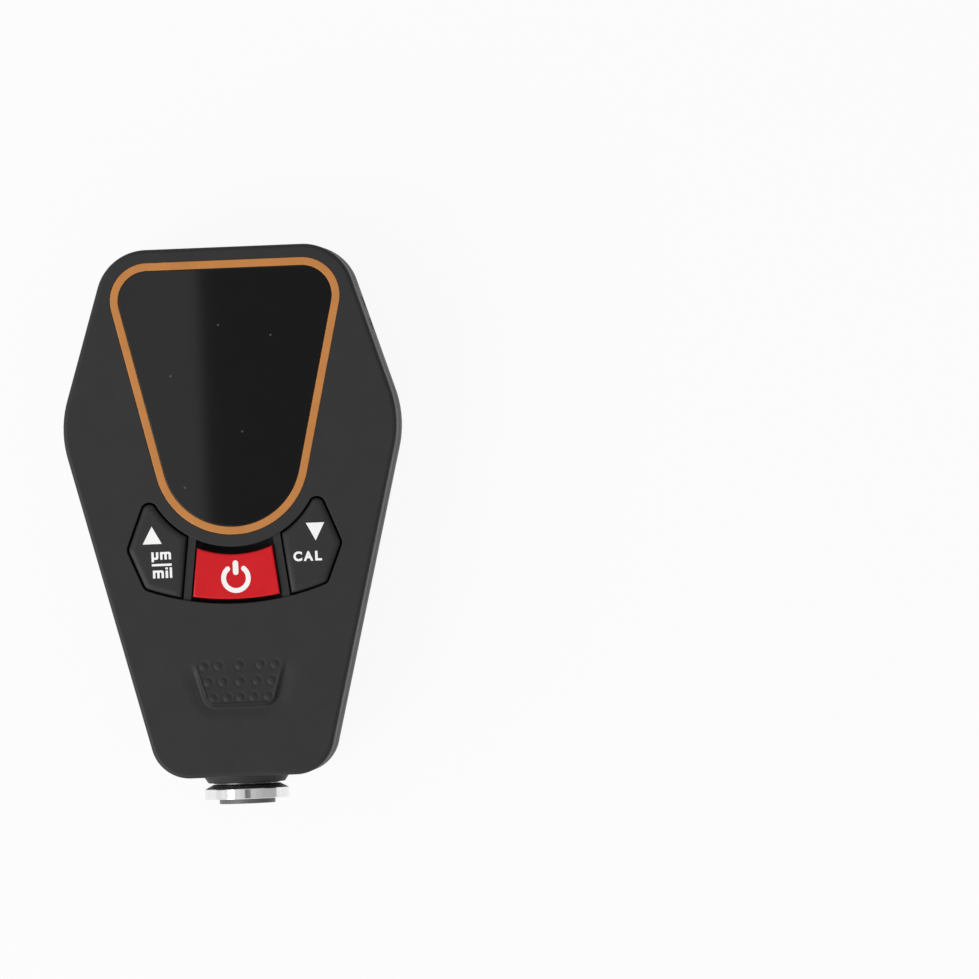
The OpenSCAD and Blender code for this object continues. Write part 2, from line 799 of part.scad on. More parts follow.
// A plug that hangs under the board and takes a lead
module lead_socket(x, y) {
    translate([x - plug_w / 2, y, board_z - plug_h]) cube([plug_w, plug_len, plug_h]);
}

// The battery's plug stands clear of the battery, with the lead between them
plug_x = -side_switch_x / 2;
battery_plug_y = battery_low_y - 2 * plug_len;

module battery_plug() {
    color(white) lead_socket(plug_x, battery_plug_y - plug_len);
}

module battery_lead() {
    color(red) lead([plug_x, battery_low_y, battery_z + battery_thick / 2],
        [plug_x, battery_plug_y, board_z - plug_h / 2]);
}

module usb_socket() {
    color(steel) difference() {
        at_socket(0) linear_extrude(socket_len) socket_outline();
        at_socket(-past) linear_extrude(socket_len - tongue_thick + past) socket_outline(-socket_wall);
    }
}

module usb_tongue() {
    back = socket_len - tongue_thick;
    color(key_black) at_socket(back - tongue_len)
        linear_extrude(tongue_len) square([tongue_w, tongue_thick], center = true);
}

module probe_collar() {
    color(case_black) turned([
        [tube_bore_r, collar_s], [collar_face_d / 2, collar_s], [collar_d / 2, probe_out],
        [groove_d / 2, probe_out], [groove_d / 2, wall_s], [collar_flange_d / 2, wall_s],
        [collar_flange_d / 2, flange_s], [tube_d / 2, flange_s], [tube_d / 2, tube_s], [tube_bore_r, tube_s]
    ]);
}

module nose_ring() {
    bore_r = tip_d / 2 + slide_gap;
    color(steel) turned([
        [bore_r, tip_out], [rim_d / 2, tip_out], [rim_d / 2, rim_s],
        [neck_d / 2, cone_s], [neck_d / 2, neck_s], [bore_r, neck_s]
    ]);
}

module sensor_tip() {
    hole_r = core_d / 2 + fit;
    color(tip_grey) turned([
        [hole_r, 0], [tip_d / 2, 0], [tip_d / 2, stop_s], [stop_d / 2, stop_s], [stop_d / 2, stop_end_s],
        [cup_d / 2, stop_end_s], [cup_d / 2, cup_face], [hole_r, cup_face]
    ]);
}

module sensor_core() {
    color(ferrite) probe_hole(core_d / 2, 0, core_len);
}

module coil_bobbin() {
    hole_r = core_d / 2 + fit;
    flange_r = cup_d / 2 - fit;
    color(white) turned([
        [hole_r, cup_face], [flange_r, cup_face], [flange_r, cup_face + bobbin_wall],
        [bobbin_r, cup_face + bobbin_wall], [bobbin_r, bobbin_end_s - bobbin_wall],
        [flange_r, bobbin_end_s - bobbin_wall], [flange_r, bobbin_end_s], [hole_r, bobbin_end_s]
    ]);
}

module sensor_coil() {
    in_r = bobbin_r + fit;
    from = cup_face + bobbin_wall;
    to = bobbin_end_s - bobbin_wall;
    color(copper) turned([[in_r, from], [in_r + coil_depth, from], [in_r + coil_depth, to], [in_r, to]]);
}

module sensor_plug() {
    hole_r = core_d / 2 + fit;
    plug_r = cup_d / 2 - fit;
    color(key_black) turned([
        [hole_r, bobbin_end_s], [plug_r, bobbin_end_s], [plug_r, stop_end_s], [hole_r, stop_end_s]
    ]);
}

module sensor_spring() {
    coil_r = (cup_d + stop_d) / 4;
    low = stop_end_s + spring_wire / 2 + fit;
    high = cap_s - spring_wire / 2 - fit;
    per_turn = 12;
    n = spring_turns * per_turn;
    path = [for (i = [0 : n]) let (a = 360 * i / per_turn)
        [coil_r * cos(a), coil_r * sin(a), low + (high - low) * i / n]];
    across = [for (p = path) unit([p.x, p.y, 0])];
    lift = (high - low) / (spring_turns * 2 * PI * coil_r);
    ahead = [for (a = across) unit([-a.y, a.x, lift])];
    color(steel) along_probe() swept_tube(path, ahead, across, spring_wire / 2);
}

module spring_cap() {
    plug_r = tube_bore_r - fit;
    color(tip_grey) turned([
        [lead_hole_r, cap_s], [plug_r, cap_s], [plug_r, tube_s],
        [tube_d / 2, tube_s], [tube_d / 2, cap_end_s], [lead_hole_r, cap_end_s]
    ]);
}

module sensor_lead() {
    color(red) lead([0, tip_y + tube_s, probe_z], [0, board_low_y, board_z - plug_h / 2]);
}

module lead_plug() {
    color(white) lead_socket(0, board_low_y);
}

// Screws with a cross slot, driven from the rear
module case_screws() {
    slot = [head_d - 2 * slot_w, slot_w, head_h];
    color(steel) for (b = bosses) translate([b.x, b.y, seat_z]) {
        cylinder(d = screw_d, h = screw_len);
        difference() {
            translate([0, 0, -head_h]) cylinder(d = head_d, h = head_h);
            for (turn = [0, 90]) rotate(turn) translate([0, 0, -head_h]) cube(slot, center = true);
        }
    }
}

front_cover();
rear_cover();
bezel_ring();
display_lens();
lens_gasket();
lcd_panel();
backlight();
main_board();
controller_chip();
unit_key();
power_key();
calibrate_key();
unit_switch();
power_switch();
calibrate_switch();
unit_plunger();
power_plunger();
calibrate_plunger();
battery();
battery_pad();
battery_plug();
battery_lead();
usb_socket();
usb_tongue();
probe_collar();
nose_ring();
sensor_tip();
sensor_core();
coil_bobbin();
sensor_coil();
sensor_plug();
sensor_spring();
spring_cap();
sensor_lead();
lead_plug();
case_screws();
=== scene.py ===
import json
import math

import bmesh
import bpy
from mathutils import Matrix, Vector


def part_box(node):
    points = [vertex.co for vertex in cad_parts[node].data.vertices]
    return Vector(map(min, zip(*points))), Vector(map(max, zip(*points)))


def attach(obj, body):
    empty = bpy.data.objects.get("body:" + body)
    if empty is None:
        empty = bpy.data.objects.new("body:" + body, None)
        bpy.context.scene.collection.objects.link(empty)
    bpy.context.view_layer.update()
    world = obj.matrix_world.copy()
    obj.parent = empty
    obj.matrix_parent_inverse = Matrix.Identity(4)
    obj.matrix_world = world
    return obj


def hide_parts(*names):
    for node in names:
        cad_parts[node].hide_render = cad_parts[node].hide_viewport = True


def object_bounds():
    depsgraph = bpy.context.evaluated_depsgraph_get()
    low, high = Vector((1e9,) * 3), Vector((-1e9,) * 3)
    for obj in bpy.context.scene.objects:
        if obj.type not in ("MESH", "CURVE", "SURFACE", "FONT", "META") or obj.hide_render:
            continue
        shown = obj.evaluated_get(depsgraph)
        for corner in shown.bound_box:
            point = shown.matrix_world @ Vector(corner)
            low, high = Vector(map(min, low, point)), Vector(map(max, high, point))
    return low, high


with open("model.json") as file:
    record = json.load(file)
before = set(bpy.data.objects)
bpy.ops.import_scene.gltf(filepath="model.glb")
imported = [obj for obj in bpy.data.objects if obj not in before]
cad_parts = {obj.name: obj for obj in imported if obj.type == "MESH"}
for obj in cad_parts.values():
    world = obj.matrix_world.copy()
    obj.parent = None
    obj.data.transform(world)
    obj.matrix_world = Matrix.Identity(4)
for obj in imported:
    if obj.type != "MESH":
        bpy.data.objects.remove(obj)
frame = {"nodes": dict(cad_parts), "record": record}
cad_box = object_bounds()
nodes = frame["nodes"]
record = frame["record"]
body_of_node = {n: body for body, members in record["behaviour"]["bodies"].items() for n in members}
slot_of_node = {s["node"]: s["material_slot"] for s in record["subparts"]}
strap_eye = next(m for m in record["mounts"] if m["name"] == "strap_eye")

MM = 0.001
WELD = 0.001 * MM
NEAR = 0.01 * MM

# Places in the frame that the looks are built on
rear_z = cad_box[0].z
face_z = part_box("display_lens")[1].z
key_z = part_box("power_key")[1].z
part_z = (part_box("nose_ring")[0].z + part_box("nose_ring")[1].z) / 2
pocket_depth = face_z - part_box("bezel_ring")[0].z
bezel_low_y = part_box("bezel_ring")[0].y


# Nodes that materials and the studio are made of

def maths(tree, operation, first, second):
    """The result of an operation on two values, each a number or another node's output."""
    node = tree.nodes.new("ShaderNodeMath")
    node.operation = operation
    for socket, value in zip(node.inputs, (first, second)):
        if isinstance(value, bpy.types.NodeSocket):
            tree.links.new(value, socket)
        else:
            socket.default_value = value
    return node.outputs["Value"]


def ranged(tree, value, low, high, start=0.3, end=0.7):
    """A value that goes from low to high while another goes from start to end."""
    node = tree.nodes.new("ShaderNodeMapRange")
    node.inputs["From Min"].default_value = start
    node.inputs["From Max"].default_value = end
    node.inputs["To Min"].default_value = low
    node.inputs["To Max"].default_value = high
    tree.links.new(value, node.inputs["Value"])
    return node.outputs["Result"]


def noise(tree, scale, detail=3.0, stretch=(1, 1, 1)):
    """Noise over the piece, with its scale in waves per metre."""
    place = tree.nodes.new("ShaderNodeTexCoord")
    mapping = tree.nodes.new("ShaderNodeMapping")
    mapping.inputs["Scale"].default_value = stretch
    texture = tree.nodes.new("ShaderNodeTexNoise")
    texture.inputs["Scale"].default_value = scale
    texture.inputs["Detail"].default_value = detail
    tree.links.new(place.outputs["Object"], mapping.inputs["Vector"])
    tree.links.new(mapping.outputs["Vector"], texture.inputs["Vector"])
    return texture.outputs["Fac"]


def mixed(tree, first, second, share):
    """A colour between two, each given as red, green and blue or as another node's output."""
    mix = tree.nodes.new("ShaderNodeMix")
    mix.data_type = "RGBA"
    for socket, colour in ((mix.inputs["A"], first), (mix.inputs["B"], second)):
        if isinstance(colour, bpy.types.NodeSocket):
            tree.links.new(colour, socket)
        else:
            socket.default_value = (*colour, 1)
    tree.links.new(share, mix.inputs["Factor"])
    return mix.outputs["Result"]


# Materials

CLOUD_SIZE = 4 * MM
PLASTIC_GLOSS_SPREAD = 0.04
METAL_SPREAD = 0.05
METAL_GLOSS_SPREAD = 0.3
SPECK_BLUR = 0.1


def new_material(name):
    """A material with a plain shader, its node tree and that shader."""
    material = bpy.data.materials.new(name)
    material.use_nodes = True
    tree = material.node_tree
    return material, tree, tree.nodes["Principled BSDF"]


def tinted(tree, shader, colour, value, spread):
    """Varies the base colour around the given one."""
    dark = [c * (1 - spread) for c in colour]
    light = [min(1.0, c * (1 + spread)) for c in colour]
    tree.links.new(mixed(tree, dark, light, ranged(tree, value, 0.0, 1.0)), shader.inputs["Base Color"])


def glossed(tree, shader, roughness, value, spread):
    """Varies the roughness around the given one."""
    uneven = ranged(tree, value, roughness * (1 - spread), roughness * (1 + spread))
    tree.links.new(uneven, shader.inputs["Roughness"])


def bumped(tree, shader, value, depth):
    """Raises the surface by up to depth where the value is high."""
    bump = tree.nodes.new("ShaderNodeBump")
    bump.inputs["Distance"].default_value = depth
    tree.links.new(value, bump.inputs["Height"])
    tree.links.new(bump.outputs["Normal"], shader.inputs["Normal"])


def plastic(name, colour, roughness, specular=0.5, spread=0.05, grain=0.15 * MM, depth=0.004 * MM):
    """Moulded plastic: cloudy colour, uneven gloss and a fine grain."""
    material, tree, shader = new_material(name)
    shader.inputs["Specular IOR Level"].default_value = specular
    clouds = noise(tree, 1 / CLOUD_SIZE)
    tinted(tree, shader, colour, clouds, spread)
    glossed(tree, shader, roughness, clouds, PLASTIC_GLOSS_SPREAD)
    bumped(tree, shader, noise(tree, 1 / grain, detail=2.0), depth)
    return material


def dusty(material, spacing, size, colour):
    """Scatters specks over a material, seen from above, with about one in each square of the spacing."""
    tree = material.node_tree
    base = tree.nodes["Principled BSDF"].inputs["Base Color"]
    place = tree.nodes.new("ShaderNodeTexCoord")
    cells = tree.nodes.new("ShaderNodeTexVoronoi")
    cells.voronoi_dimensions = "2D"
    cells.inputs["Scale"].default_value = 1 / spacing
    tree.links.new(place.outputs["Object"], cells.inputs["Vector"])
    share = size / spacing
    speck = ranged(tree, cells.outputs["Distance"], 1.0, 0.0,
                   start=share * (0.5 - SPECK_BLUR), end=share * (0.5 + SPECK_BLUR))
    tree.links.new(mixed(tree, base.links[0].from_socket, colour, speck), base)
    return material


def metal(name, colour, roughness, stretch=(1, 1, 1), grain=0.2 * MM, depth=0.002 * MM):
    """Metal whose grain is drawn out along one direction."""
    material, tree, shader = new_material(name)
    shader.inputs["Metallic"].default_value = 1.0
    lines = noise(tree, 1 / grain, detail=4.0, stretch=stretch)
    tinted(tree, shader, colour, lines, METAL_SPREAD)
    glossed(tree, shader, roughness, lines, METAL_GLOSS_SPREAD)
    bumped(tree, shader, lines, depth)
    return material


lens_black = plastic("lens_black", (0.004, 0.004, 0.0045), 0.015, grain=2 * MM, depth=0.00005 * MM)
materials = {
    "case_plastic": plastic("case_plastic", (0.021, 0.021, 0.022), 0.55, specular=0.25),
    "lens_black": dusty(lens_black, 15 * MM, 0.4 * MM, (0.06, 0.06, 0.06)),
    "bezel_orange": plastic("bezel_orange", (0.47, 0.183, 0.0405), 0.45, specular=0.4),
    "key_black": plastic("key_black", (0.0175, 0.0175, 0.0185), 0.55, specular=0.3),
    "key_red": plastic("key_red", (0.54, 0.0065, 0.012), 0.5, specular=0.18),
    "legend_white": plastic("legend_white", (0.83, 0.83, 0.82), 0.5, spread=0.03),
    "foam": plastic("foam", (0.07, 0.07, 0.075), 0.9, grain=0.4 * MM, depth=0.1 * MM),
    "panel_glass": plastic("panel_glass", (0.26, 0.31, 0.29), 0.1, depth=0.0005 * MM),
    "white_plastic": plastic("white_plastic", (0.78, 0.78, 0.75), 0.4),
    "board": plastic("board", (0.01, 0.09, 0.03), 0.35, grain=0.6 * MM),
    "chip_plastic": plastic("chip_plastic", (0.018, 0.018, 0.02), 0.5),
    "battery_foil": metal("battery_foil", (0.5, 0.51, 0.53), 0.35, grain=2 * MM, depth=0.02 * MM),
    "lead_jacket": plastic("lead_jacket", (0.38, 0.013, 0.013), 0.45),
    "plated_steel": metal("plated_steel", (0.56, 0.56, 0.58), 0.28),
    "turned_steel": metal("turned_steel", (0.85, 0.85, 0.86), 0.12, stretch=(1, 0.03, 1), grain=0.6 * MM),
    "tip_grey": plastic("tip_grey", (0.085, 0.085, 0.09), 0.45),
    "ferrite": plastic("ferrite", (0.05, 0.05, 0.052), 0.5),
    "copper": metal("copper", (0.62, 0.25, 0.1), 0.35, stretch=(0.1, 3, 0.1), depth=0.02 * MM),
}

for name, node in nodes.items():
    node.data.materials.clear()
    node.data.materials.append(materials[slot_of_node[name]])


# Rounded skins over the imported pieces

SUPPORT = 0.12 * MM
SMOOTH_ANGLE = math.radians(32)
BEVEL_ANGLE = math.radians(12)
CORNER_LIMIT = 0.3

# Limits of the upward part of a face's normal, for a level face, one that looks up or down, and a wall
LEVEL_TILT = 0.999
SLOPE_TILT = 0.5
WALL_TILT = 0.1


def welded(node):
    """A copy of a node's mesh as one closed skin."""
    skin = bmesh.new()
    skin.from_mesh(nodes[node].data)
    bmesh.ops.remove_doubles(skin, verts=skin.verts, dist=WELD)
    return skin


def dressed(skin, node, smooth_angle=SMOOTH_ANGLE):
    """Makes a skin into a piece that stands for a node and moves with its body."""
    bmesh.ops.recalc_face_normals(skin, faces=skin.faces)
    mesh = bpy.data.meshes.new(node + "_skin")
    skin.to_mesh(mesh)
    skin.free()
    mesh.shade_smooth()
    mesh.set_sharp_from_angle(angle=smooth_angle)
    mesh.materials.append(materials[slot_of_node[node]])
    piece = bpy.data.objects.new(node + "_skin", mesh)
    bpy.context.scene.collection.objects.link(piece)
    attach(piece, body_of_node[node])
    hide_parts(node)
    return piece


def flat_faces(skin, height):
    """The faces that lie at a height and look up."""
    return [f for f in skin.faces
            if f.normal.z > LEVEL_TILT and all(abs(v.co.z - height) < NEAR for v in f.verts)]


def raised_faces(skin, height):
    """The faces that stand on the level ones at a height."""
    level = set(flat_faces(skin, height))
    return [f for f in skin.faces if f not in level and all(v.co.z > height - NEAR for v in f.verts)]


def rim_of(faces, height):
    """The edges round level faces: two corners, with the faces on their left, and the next face's drop."""
    inside = set(faces)
    rim = []
    for face in faces:
        for loop in face.loops:
            beyond = [f for f in loop.edge.link_faces if f not in inside]
            if beyond:
                is_level = beyond[0].normal.z > SLOPE_TILT
                drop = 0.0 if is_level else height - min(v.co.z for v in beyond[0].verts)
                rim.append((loop.vert, loop.link_loop_next.vert, drop))
    return rim


def inward(rim):
    """For each corner of a rim, the step that carries it one unit away from both its edges."""
    sides = {}
    for a, b, _ in rim:
        way = (b.co - a.co).normalized()
        for corner in (a, b):
            sides.setdefault(corner, []).append(Vector((-way.y, way.x, 0)))
    steps_in = {}
    for corner, pair in sides.items():
        steps_in[corner] = sum(pair, Vector()) / max(CORNER_LIMIT, 1 + pair[0].dot(pair[-1]))
    return steps_in


def fillet(width, depth, steps=4):
    """Insets and depths of the rings of a rounded edge, from its wall to the level face."""
    turns = [math.pi / 2 * k / steps for k in range(steps + 1)]
    return [(width * (1 - math.cos(t)), depth * (1 - math.sin(t))) for t in turns] + [(width + SUPPORT, 0)]


def round_top(skin, height, size_at, add_patch=None):
    """Rounds the sharp edges of the level faces at a height and fills these again.

    A function gives the width and depth of an edge for its drop. A patch is a function that adds faces
    to the skin and returns the edges round them, which the filling meets.
    """
    faces = flat_faces(skin, height)
    rim = rim_of(faces, height)
    steps_in = inward(rim)
    bmesh.ops.delete(skin, geom=faces, context="FACES_ONLY")
    closing = add_patch(skin) if add_patch else []
    for is_level in (False, True):
        edges = [edge for edge in rim if (edge[2] == 0) == is_level]
        rings = {}
        for a, b, drop in edges:
            rings[a] = rings[b] = [(0, 0), (SUPPORT, 0)] if is_level else fillet(*size_at(drop))
        base = {corner: corner.co.copy() for corner in rings}
        for corner in rings:
            corner.co.z -= rings[corner][0][1]
        ring = {corner: corner for corner in rings}
        for k in range(1, max((len(r) for r in rings.values()), default=1)):
            next_ring = {}
            for corner, place in base.items():
                inset, depth = rings[corner][k]
                next_ring[corner] = skin.verts.new(place + steps_in[corner] * inset - Vector((0, 0, depth)))
            for a, b, _ in edges:
                skin.faces.new((ring[a], ring[b], next_ring[b], next_ring[a]))
            ring = next_ring
        closing += [skin.edges.get((ring[a], ring[b])) for a, b, _ in edges]
    bmesh.ops.triangle_fill(skin, use_beauty=True, edges=closing, normal=Vector((0, 0, 1)))


def is_sharp(edge):
    """Whether an edge lies between two faces that meet at more than the smooth angle."""
    return len(edge.link_faces) == 2 and edge.calc_face_angle() > SMOOTH_ANGLE


def bevel(skin, width, chosen=lambda edge: True):
    """Bevels the sharp edges that are chosen."""
    edges = [e for e in skin.edges if is_sharp(e) and chosen(e)]
    bmesh.ops.bevel(skin, geom=edges, offset=width, segments=2, profile=0.5,
                    affect="EDGES", clamp_overlap=True)


def make_level(node, width, depth):
    """A piece with a level top and a rounded edge round it."""
    skin = welded(node)
    round_top(skin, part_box(node)[1].z, lambda drop: (width, depth))
    return dressed(skin, node)


def make_bevelled(node, width):
    """A piece with all its sharp edges broken."""
    skin = welded(node)
    bevel(skin, width)
    return dressed(skin, node, BEVEL_ANGLE)


# Thumb grip: a ramp with bumps that stands in a shallow dish, in millimetres

GRIP_LEN = 8.4
GRIP_HALF_TOP = 8.7
GRIP_HALF_LOW = 6.2
GRIP_CORNER = 1.5
GRIP_RISE = 0.6
GRIP_WALL = 0.9
RIM_HEIGHT = 0.14
RIM_INSET = 0.4
RIM_HALF = 0.22
DISH_DEPTH = 0.25
DISH_REACH = 3.0
DISH_START = 4.0
BUMP_ACROSS = (-6.6, -3.9, 0.0, 3.9, 6.6)
BUMP_STEP_IN = 0.73
BUMP_DROP = 0.95
BUMP_PITCH = 2.95
BUMP_ROWS = 3
BUMP_R = 0.7
BUMP_EDGE = 0.4
BUMP_HEIGHT = 0.11
MOAT_DEPTH = 0.05
MOAT_R = 0.91
MOAT_HALF = 0.175
PATCH_HALF = 12.48
PATCH_ABOVE = 1.6
PATCH_BELOW = 12.0
PATCH_STEP = 0.12

grip_low_y = min(v.co.y for v in nodes["front_cover"].data.vertices if v.co.z > face_z + NEAR)


def bump_places():
    """Places of the bumps across and below the grip's upper edge, in rows that get narrower."""
    places = []
    for row in range(BUMP_ROWS):
        for x in BUMP_ACROSS:
            side = (x > 0) - (x < 0)
            places.append((x - side * row * BUMP_STEP_IN, BUMP_DROP + row * BUMP_PITCH))
    return places


bumps = bump_places()


def eased(share):
    """A smooth step from nought to one."""
    share = min(1.0, max(0.0, share))
    return share * share * (3 - 2 * share)


def hump(distance, half):
    """A smooth hump of height one round a distance of nought."""
    return math.exp(-(distance / half) ** 2)


def beyond_grip(x, down):
    """Distance of a place outside the grip's outline, or below nought inside it."""
    narrowing = GRIP_HALF_TOP - GRIP_HALF_LOW
    side_len = math.hypot(GRIP_LEN, narrowing)
    past_side = ((abs(x) - GRIP_HALF_TOP) * GRIP_LEN + down * narrowing) / side_len
    past_low = down - GRIP_LEN
    corner = math.hypot(max(past_side + GRIP_CORNER, 0), max(past_low + GRIP_CORNER, 0))
    return corner - GRIP_CORNER + min(max(past_side, past_low) + GRIP_CORNER, 0)


def bump_height(x, down):
    """Height of the bumps and of the faint hollows round them."""
    apart = min(math.hypot(x - bump_x, down - bump_down) for bump_x, bump_down in bumps)
    dome = eased((BUMP_R - apart) / BUMP_EDGE)
    return BUMP_HEIGHT * dome - MOAT_DEPTH * hump(apart - MOAT_R, MOAT_HALF)


def grip_height(x, down):
    """Height over the face at a place across and below the middle of the grip's upper edge."""
    past = beyond_grip(x, down)
    inside = 1 - eased(past / GRIP_WALL + 0.5)
    ramp = GRIP_RISE * min(max(down / GRIP_LEN, 0), 1)
    rim = RIM_HEIGHT * hump(past + RIM_INSET, RIM_HALF) * eased(down / DISH_START)
    dish = -DISH_DEPTH * (1 - eased(past / DISH_REACH)) * eased(down / DISH_START)
    return inside * (ramp + rim + bump_height(x, down)) + (1 - inside) * dish


def grip_patch(skin):
    """Adds the finely shaped part of the face to a skin and returns the edges round it."""
    columns = round(2 * PATCH_HALF / PATCH_STEP) + 1
    rows = round((PATCH_ABOVE + PATCH_BELOW) / PATCH_STEP) + 1
    grid = []
    for row in range(rows):
        down = row * PATCH_STEP - PATCH_ABOVE
        y = grip_low_y + (GRIP_LEN - down) * MM
        across = [column * PATCH_STEP - PATCH_HALF for column in range(columns)]
        grid.append([skin.verts.new((x * MM, y, face_z + grip_height(x, down) * MM)) for x in across])
    faces = [skin.faces.new((upper[k], lower[k], lower[k + 1], upper[k + 1]))
             for upper, lower in zip(grid, grid[1:]) for k in range(columns - 1)]
    return [e for e in {e for f in faces for e in f.edges} if len(e.link_faces) == 1]


# Case

PARTING_BEVEL = 0.15 * MM
REAR_BORDER = 1.5 * MM
STRAP_REACH = 5 * MM
STRAP_TILT = 0.95
CRISP_EDGE = 0.06 * MM
SOFT_EDGE = 0.12 * MM


def middle_of(edge):
    """The middle of an edge."""
    return (edge.verts[0].co + edge.verts[1].co) / 2


def is_parting(edge):
    """Whether an edge runs round the outside of the case where its halves meet."""
    if any(abs(v.co.z - part_z) > NEAR for v in edge.verts):
        return False
    outward = Vector((*middle_of(edge).xy, 0))
    return any(abs(f.normal.z) < WALL_TILT and f.normal.dot(outward) > 0 for f in edge.link_faces)


def is_rear_rim(edge):
    """Whether an edge runs round a hole in the rear face or in its rounded border."""
    is_low = all(v.co.z < rear_z + REAR_BORDER for v in edge.verts)
    tilts = [f.normal.z for f in edge.link_faces]
    return is_low and min(tilts) < -SLOPE_TILT and abs(max(tilts)) < WALL_TILT


def is_strap_rim(edge):
    """Whether an edge runs round a slot of the strap eye."""
    outward = Vector(strap_eye["axis"])
    is_near = (middle_of(edge) - Vector(strap_eye["pos_m"])).length < STRAP_REACH
    return is_near and any(f.normal.dot(outward) > STRAP_TILT for f in edge.link_faces)


def face_edge(drop):
    """Width and depth of an edge of the face: crisp round the bezel, softer round the keys."""
    radius = CRISP_EDGE if abs(drop - pocket_depth) < NEAR else SOFT_EDGE
    return radius, radius


def make_front_cover():
    """The front half, with its grip shaped anew."""
    skin = welded("front_cover")
    bevel(skin, PARTING_BEVEL, is_parting)
    bmesh.ops.delete(skin, geom=raised_faces(skin, face_z), context="FACES")
    round_top(skin, face_z, face_edge, grip_patch)
    bmesh.ops.delete(skin, geom=[e for e in skin.edges if not e.link_faces], context="EDGES")
    bmesh.ops.delete(skin, geom=[v for v in skin.verts if not v.link_edges], context="VERTS")
    return dressed(skin, "front_cover")


def make_rear_cover():
    """The rear half."""
    skin = welded("rear_cover")
    bevel(skin, PARTING_BEVEL, lambda e: is_parting(e) or is_rear_rim(e) or is_strap_rim(e))
    return dressed(skin, "rear_cover")


# Keys and small pieces

FLANGE_DEPTH = 2 * MM
SLOPE_WIDTH = 1.1 * MM
SLOPE_DEPTH = 0.6 * MM
POWER_WIDTH = 0.35 * MM
POWER_DEPTH = 0.25 * MM
THIN_EDGE = 0.1 * MM
TURNED_EDGE = 0.12 * MM
SOCKET_EDGE = 0.08 * MM


def darken_flange(key):
    """Gives the part of a key that lies well under the face the dark colour of the other keys."""
    key.data.materials.append(materials["key_black"])
    for polygon in key.data.polygons:
        top = max(key.data.vertices[k].co.z for k in polygon.vertices)
        polygon.material_index = 1 if top < face_z - FLANGE_DEPTH else 0


make_front_cover()
make_rear_cover()
make_level("bezel_ring", THIN_EDGE, THIN_EDGE)
make_level("display_lens", THIN_EDGE, THIN_EDGE)
make_level("unit_key", SLOPE_WIDTH, SLOPE_DEPTH)
make_level("calibrate_key", SLOPE_WIDTH, SLOPE_DEPTH)
darken_flange(make_level("power_key", POWER_WIDTH, POWER_DEPTH))
make_bevelled("probe_collar", TURNED_EDGE)
make_bevelled("nose_ring", TURNED_EDGE)
make_bevelled("sensor_tip", THIN_EDGE)
make_bevelled("usb_socket", SOCKET_EDGE)
make_bevelled("usb_tongue", SOCKET_EDGE)
make_bevelled("case_screws", THIN_EDGE)


# White signs on the keys, in millimetres across the case and up from the bezel's lower end

SIGN_THICK = 0.03 * MM
LETTER_BOLD = 0.042
LETTER_STEM = 0.44
LETTER_TOP = 0.36
LETTER_CORNER = 0.42


def sign_curve(name):
    """A flat filled curve that becomes a thin plate."""
    curve = bpy.data.curves.new(name, "CURVE")
    curve.dimensions = "2D"
    curve.fill_mode = "BOTH"
    curve.extrude = SIGN_THICK
    return curve


def add_outline(curve, points):
    """A closed outline in millimetres."""
    spline = curve.splines.new("POLY")
    spline.points.add(len(points) - 1)
    for point, (x, y) in zip(spline.points, points):
        point.co = (x * MM, y * MM, 0, 1)
    spline.use_cyclic_u = True


def arc(x, y, r, start, end, steps=24):
    """Points on an arc, in degrees."""
    turns = [math.radians(start + (end - start) * k / steps) for k in range(steps + 1)]
    return [(x + r * math.cos(t), y + r * math.sin(t)) for t in turns]


def bar(left, low, right, high):
    """Corners of an upright bar."""
    return [(left, low), (right, low), (right, high), (left, high)]


def arched(left, low, width, height, arches, tail=0.0):
    """Outline of a letter with stems under arches, such as n or m, and a tail up from its left stem."""
    r = (width - (arches + 1) * LETTER_STEM) / (2 * arches)
    right = left + width
    high = low + height
    points = [(left, low)]
    for k in range(arches):
        inner = left + LETTER_STEM + k * (LETTER_STEM + 2 * r)
        points += [(inner, low), *arc(inner + r, high - LETTER_TOP - r, r, 180, 0), (inner + 2 * r, low)]
    points += [(right, low), *arc(right - LETTER_CORNER, high - LETTER_CORNER, LETTER_CORNER, 0, 90)]
    if tail:
        points += [(left + LETTER_STEM, high), (left + LETTER_STEM, high + tail)]
    return points + [(left, high + tail)]


def upside_down(points, middle):
    """An outline mirrored about a height."""
    return [(x, 2 * middle - y) for x, y in points]


def sign_piece(data, node, place=(0, 0)):
    """Makes a thin white plate on a key's top out of a curve or a letter."""
    source = bpy.data.objects.new(data.name + "_source", data)
    bpy.context.scene.collection.objects.link(source)
    bpy.context.view_layer.update()
    graph = bpy.context.evaluated_depsgraph_get()
    mesh = bpy.data.meshes.new_from_object(source.evaluated_get(graph))
    bpy.data.objects.remove(source)
    mesh.materials.clear()
    mesh.materials.append(materials["legend_white"])
    piece = bpy.data.objects.new(data.name, mesh)
    piece.location = (place[0] * MM, bezel_low_y + place[1] * MM, key_z)
    bpy.context.scene.collection.objects.link(piece)
    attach(piece, body_of_node[node])
    return piece


def bold_letter(name, letter, width, height, node, place):
    """A bold letter that fills a box of a width and height, with its middle at a place."""
    data = bpy.data.curves.new(name, "FONT")
    data.body = letter
    data.extrude = SIGN_THICK
    data.offset = LETTER_BOLD
    piece = sign_piece(data, node, place)
    low = [min(v.co[k] for v in piece.data.vertices) for k in (0, 1)]
    high = [max(v.co[k] for v in piece.data.vertices) for k in (0, 1)]
    for v in piece.data.vertices:
        v.co.x = (v.co.x - (low[0] + high[0]) / 2) * width * MM / (high[0] - low[0])
        v.co.y = (v.co.y - (low[1] + high[1]) / 2) * height * MM / (high[1] - low[1])
    return piece


